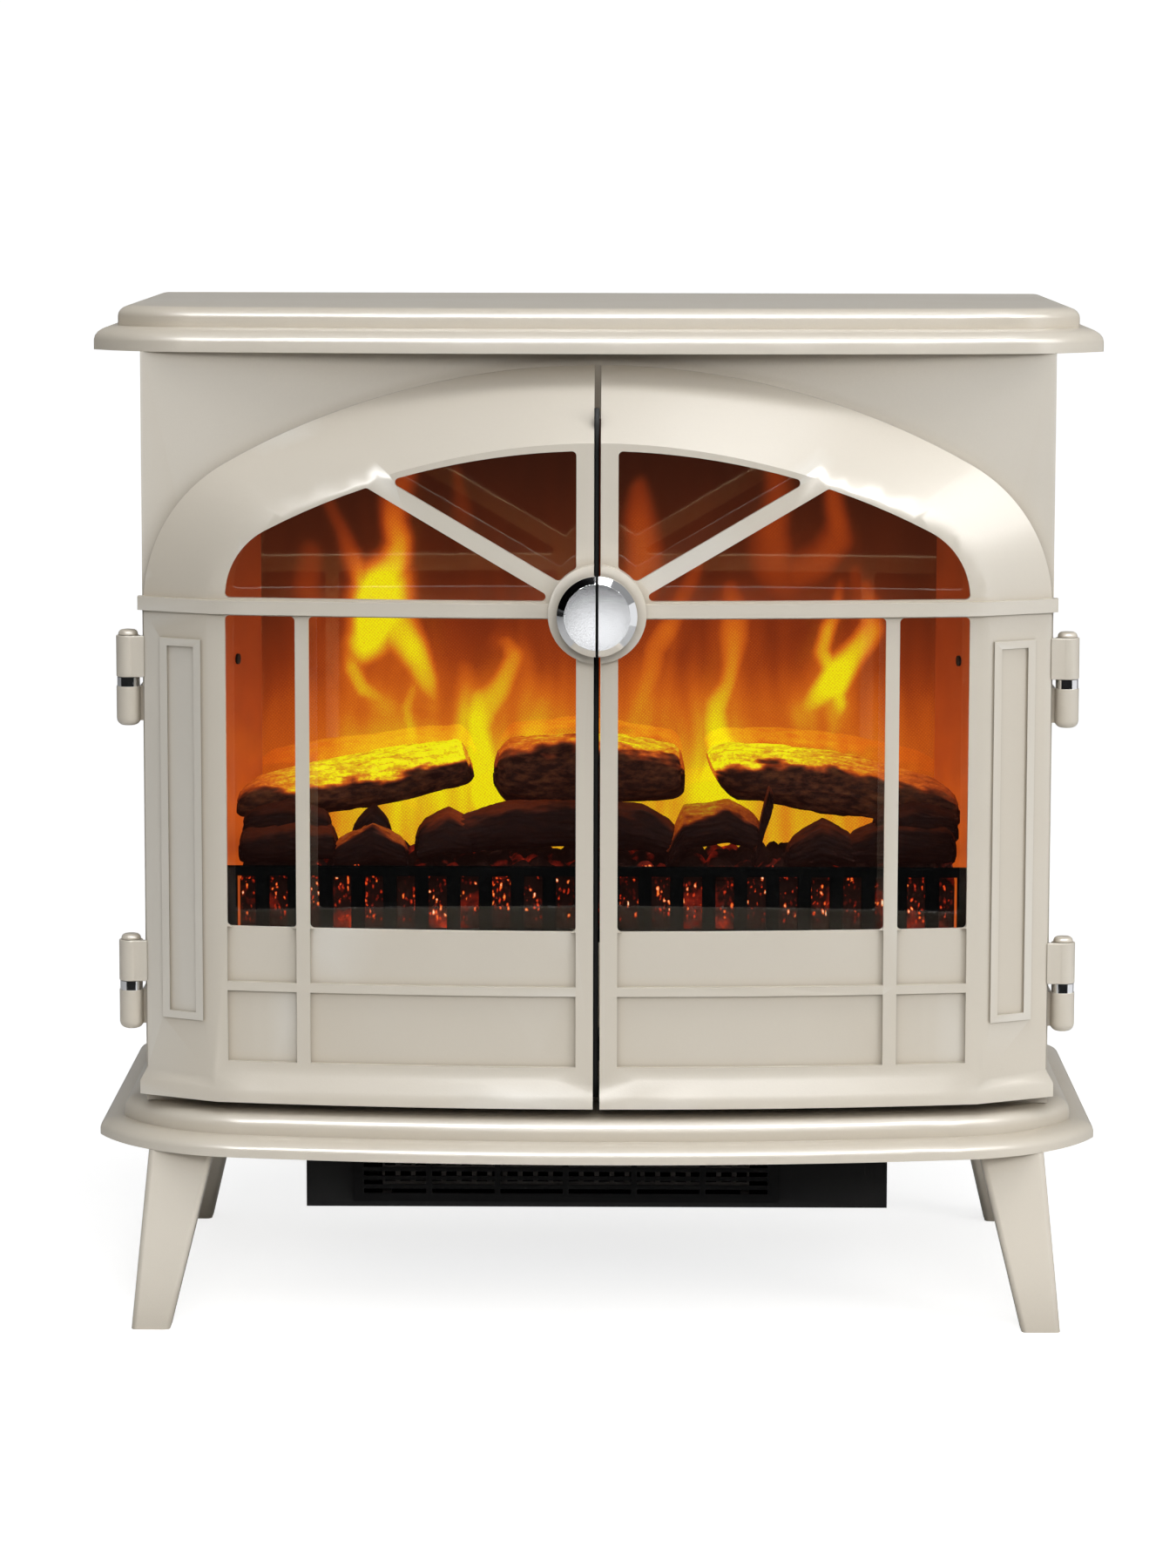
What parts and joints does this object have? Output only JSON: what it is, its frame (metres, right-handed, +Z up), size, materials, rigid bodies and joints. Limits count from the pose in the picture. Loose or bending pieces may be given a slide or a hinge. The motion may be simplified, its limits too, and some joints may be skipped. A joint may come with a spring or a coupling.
{
  "type": "electric fireplace",
  "caption": "Free-standing electric stove heater with an arched pair of glazed-look doors, lit log fire, splayed legs and a fan heater under the base.",
  "frame": {"origin": "on the floor, in the middle of the stove's overall width and depth", "axes": "+Z up, the doors face -Y, +X to the right of a person facing the doors"},
  "size_m": [0.667, 0.385, 0.67],
  "materials": {
    "cream_paint": "satin",
    "cream_pin": "satin",
    "chrome": "polished",
    "black_sheet": "matt",
    "plated_steel": "zinc plated",
    "black_plastic": "fine texture",
    "glass": "clear",
    "flame_screen": "frosted, lit from behind",
    "ember_resin": "translucent, lit from below",
    "log_resin": "painted as charred bark",
    "circuit_board": "lacquered",
    "bright_foil": "bright foil",
    "bare_aluminium": "bare",
    "rubber": "matt"
  },
  "bodies": {
    "casing": {"base_plate": "cream_paint", "blower_bush": "black_plastic", "blower_motor": "plated_steel", "cable_gland": "rubber", "centre_log": "log_resin", "control_panel": "black_plastic", "ember_bed": "ember_resin", "ember_grate": "black_sheet", "ember_light_board": "circuit_board", "fascia": "cream_paint", "fire_shelf": "black_sheet", "firebox_ceiling": "black_sheet", "flame_light_board": "circuit_board", "flame_screen": "flame_screen", "front_base_pan": "cream_paint", "front_glass": "glass", "front_left_leg": "cream_paint", "front_right_leg": "cream_paint", "glass_clips": "plated_steel", "heater_case": "black_sheet", "heating_element": "bare_aluminium", "hinge_brackets": "cream_paint", "hinge_pins": "cream_pin", "hinge_washers": "chrome", "left_firebox_wall": "black_sheet", "left_log": "log_resin", "left_side_panel": "cream_paint", "leg_nuts": "plated_steel", "magnetic_catch": "black_plastic", "main_board": "circuit_board", "outlet_grille": "black_sheet", "panel_screws": "plated_steel", "rear_base_pan": "cream_paint", "rear_cover": "black_sheet", "rear_left_leg": "cream_paint", "rear_right_leg": "cream_paint", "rear_screws": "plated_steel", "right_firebox_wall": "black_sheet", "right_log": "log_resin", "right_side_panel": "cream_paint", "rotor_bearing": "black_plastic", "rotor_motor": "plated_steel", "thermal_cutout": "plated_steel", "top_liner": "cream_paint", "top_plate": "cream_paint", "wall_screws": "plated_steel"},
    "left_door_body": {"left_door": "cream_paint", "left_knob": "chrome", "left_hinge_leaves": "cream_paint", "left_strike": "plated_steel"},
    "right_door_body": {"right_door": "cream_paint", "right_knob": "chrome", "right_hinge_leaves": "cream_paint", "right_strike": "plated_steel"},
    "flame_rotor_body": {"flame_rotor": "bright_foil"},
    "blower_rotor_body": {"blower_rotor": "bare_aluminium"},
    "fire_rocker_body": {"fire_rocker": "black_plastic"},
    "low_heat_rocker_body": {"low_heat_rocker": "black_plastic"},
    "high_heat_rocker_body": {"high_heat_rocker": "black_plastic"},
    "thermostat_dial_body": {"thermostat_dial": "black_plastic"}
  },
  "joints": [
    {"name": "left_door_hinge", "type": "hinge", "parent": "casing", "child": "left_door_body", "pos_m": [-0.3095, -0.112, 0.32], "axis": [0, 0, -1], "range_deg": [0, 110]},
    {"name": "right_door_hinge", "type": "hinge", "parent": "casing", "child": "right_door_body", "pos_m": [0.3095, -0.112, 0.32], "axis": [0, 0, 1], "range_deg": [0, 110]},
    {"name": "flame_rotor_spin", "type": "hinge", "parent": "casing", "child": "flame_rotor_body", "pos_m": [0, 0.055, 0.275], "axis": [1, 0, 0], "continuous": true},
    {"name": "blower_spin", "type": "hinge", "parent": "casing", "child": "blower_rotor_body", "pos_m": [-0.021, 0.022, 0.088], "axis": [1, 0, 0], "continuous": true},
    {"name": "fire_rocker_tip", "type": "hinge", "parent": "casing", "child": "fire_rocker_body", "pos_m": [0.082, -0.11, 0.197], "axis": [-1, 0, 0], "range_deg": [0, 14]},
    {"name": "low_heat_rocker_tip", "type": "hinge", "parent": "casing", "child": "low_heat_rocker_body", "pos_m": [0.108, -0.11, 0.197], "axis": [-1, 0, 0], "range_deg": [0, 14]},
    {"name": "high_heat_rocker_tip", "type": "hinge", "parent": "casing", "child": "high_heat_rocker_body", "pos_m": [0.134, -0.11, 0.197], "axis": [-1, 0, 0], "range_deg": [0, 14]},
    {"name": "thermostat_turn", "type": "hinge", "parent": "casing", "child": "thermostat_dial_body", "pos_m": [0.202, -0.12, 0.197], "axis": [0, 1, 0], "range_deg": [0, 270]}
  ]
}
